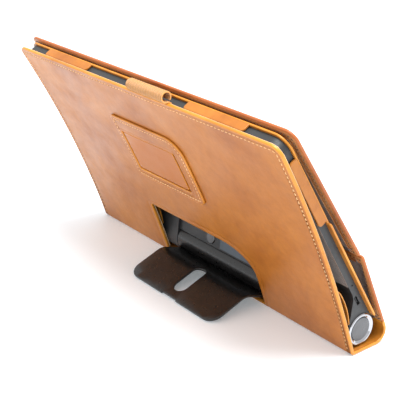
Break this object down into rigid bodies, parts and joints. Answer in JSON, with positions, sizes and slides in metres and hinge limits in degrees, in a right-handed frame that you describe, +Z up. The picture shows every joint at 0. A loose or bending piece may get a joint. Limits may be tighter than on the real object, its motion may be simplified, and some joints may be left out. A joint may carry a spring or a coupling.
{
  "type": "tablet in a leather stand folio",
  "caption": "Slim reading tablet with a barrel edge and fold-out metal kickstand, held in a stitched tan leather folio, standing with its cover closed.",
  "frame": {"origin": "middle of the footprint, on the table that the case stands on", "axes": "+X along the barrel towards the headphone end, +Y from the cover towards the kickstand, +Z up; modelled leaning back 30.5 degrees on the open kickstand"},
  "size_m": [0.268, 0.0986, 0.1541],
  "materials": {
    "case_leather": "smooth waxed cowhide, cognac",
    "cover_leather": "smooth waxed cowhide, cognac",
    "inner_leather": "smooth leather on the holder",
    "lining_cloth": "brown suede cloth",
    "elastic": "ribbed woven elastic",
    "housing_shell": "fine matt dark grey",
    "stand_metal": "satin brown-black",
    "screen_glass": "black glass",
    "screen_panel": "dark panel",
    "circuit_board": "green laminate",
    "cell_wrap": "blue wrap",
    "black_plastic": "black",
    "polished_ring": "polished",
    "button_metal": "finely turned",
    "spring_steel": "bright",
    "hinge_steel": "bright",
    "plate_grey": "blank grey plate",
    "magnet": "plated"
  },
  "bodies": {
    "tablet_in_case": {"rear_housing": "housing_shell", "display_glass": "screen_glass", "display_panel": "screen_panel", "main_board": "circuit_board", "front_camera": "black_plastic", "battery_cell_right": "cell_wrap", "battery_cell_centre": "cell_wrap", "battery_cell_left": "cell_wrap", "speaker_right": "black_plastic", "speaker_left": "black_plastic", "end_ring_right": "polished_ring", "end_ring_left": "polished_ring", "power_switch": "black_plastic", "power_spring": "spring_steel", "left_end_cap": "black_plastic", "headphone_socket": "hinge_steel", "release_spring": "spring_steel", "usb_socket": "hinge_steel", "recess_plate": "plate_grey", "back_panel": "case_leather", "stand_flap": "case_leather", "back_lining": "lining_cloth", "hand_strap_patch": "case_leather", "spine": "cover_leather", "holder_frame": "inner_leather", "holder_back": "inner_leather", "barrel_flaps": "inner_leather", "pen_loop": "elastic"},
    "kickstand": {"kickstand": "stand_metal", "hinge_collars": "hinge_steel"},
    "lower_cover": {"cover_lower": "cover_leather", "cover_lower_lining": "lining_cloth", "cover_crease": "cover_leather"},
    "upper_cover": {"cover_upper": "cover_leather", "cover_magnets": "magnet", "cover_upper_lining": "lining_cloth"},
    "release_button": {"release_button": "button_metal"},
    "power_button": {"power_button": "button_metal"},
    "volume_rocker": {"volume_rocker": "button_metal"},
    "strap_tongue": {"hand_strap_tongue": "case_leather"}
  },
  "joints": [
    {"name": "kickstand_hinge", "type": "hinge", "parent": "tablet_in_case", "child": "kickstand", "pos_m": [0, -0.02989, 0.01332], "axis": [1, 0, 0], "range_deg": [0, 79.5], "deforming": ["stand_flap"]},
    {"name": "cover_hinge", "type": "hinge", "parent": "tablet_in_case", "child": "lower_cover", "pos_m": [0, -0.04711, 0.01464], "axis": [1, 0, 0], "range_deg": [0, 118]},
    {"name": "cover_crease", "type": "hinge", "parent": "lower_cover", "child": "upper_cover", "pos_m": [0, -0.02242, 0.06532], "axis": [1, 0, 0], "range_deg": [0, 70]},
    {"name": "release_press", "type": "slide", "parent": "tablet_in_case", "child": "release_button", "axis": [0, -0.9914, -0.1305], "range_m": [0, 0.0006], "stiffness_N_per_m": 500, "springref_m": -0.0006, "deforming": ["release_spring"]},
    {"name": "power_press", "type": "slide", "parent": "tablet_in_case", "child": "power_button", "axis": [1, 0, 0], "range_m": [0, 0.0004], "stiffness_N_per_m": 800, "springref_m": -0.0006, "deforming": ["power_spring"]},
    {"name": "volume_press", "type": "slide", "parent": "tablet_in_case", "child": "volume_rocker", "axis": [-1, 0, 0], "range_m": [0, 0.0003], "stiffness_N_per_m": 600, "springref_m": -0.0006},
    {"name": "strap_lift", "type": "hinge", "parent": "tablet_in_case", "child": "strap_tongue", "pos_m": [0, 0.02437, 0.10461], "axis": [1, 0, 0], "range_deg": [0, 40], "stiffness_Nm_per_rad": 0.003, "springref_deg": -11.46}
  ]
}
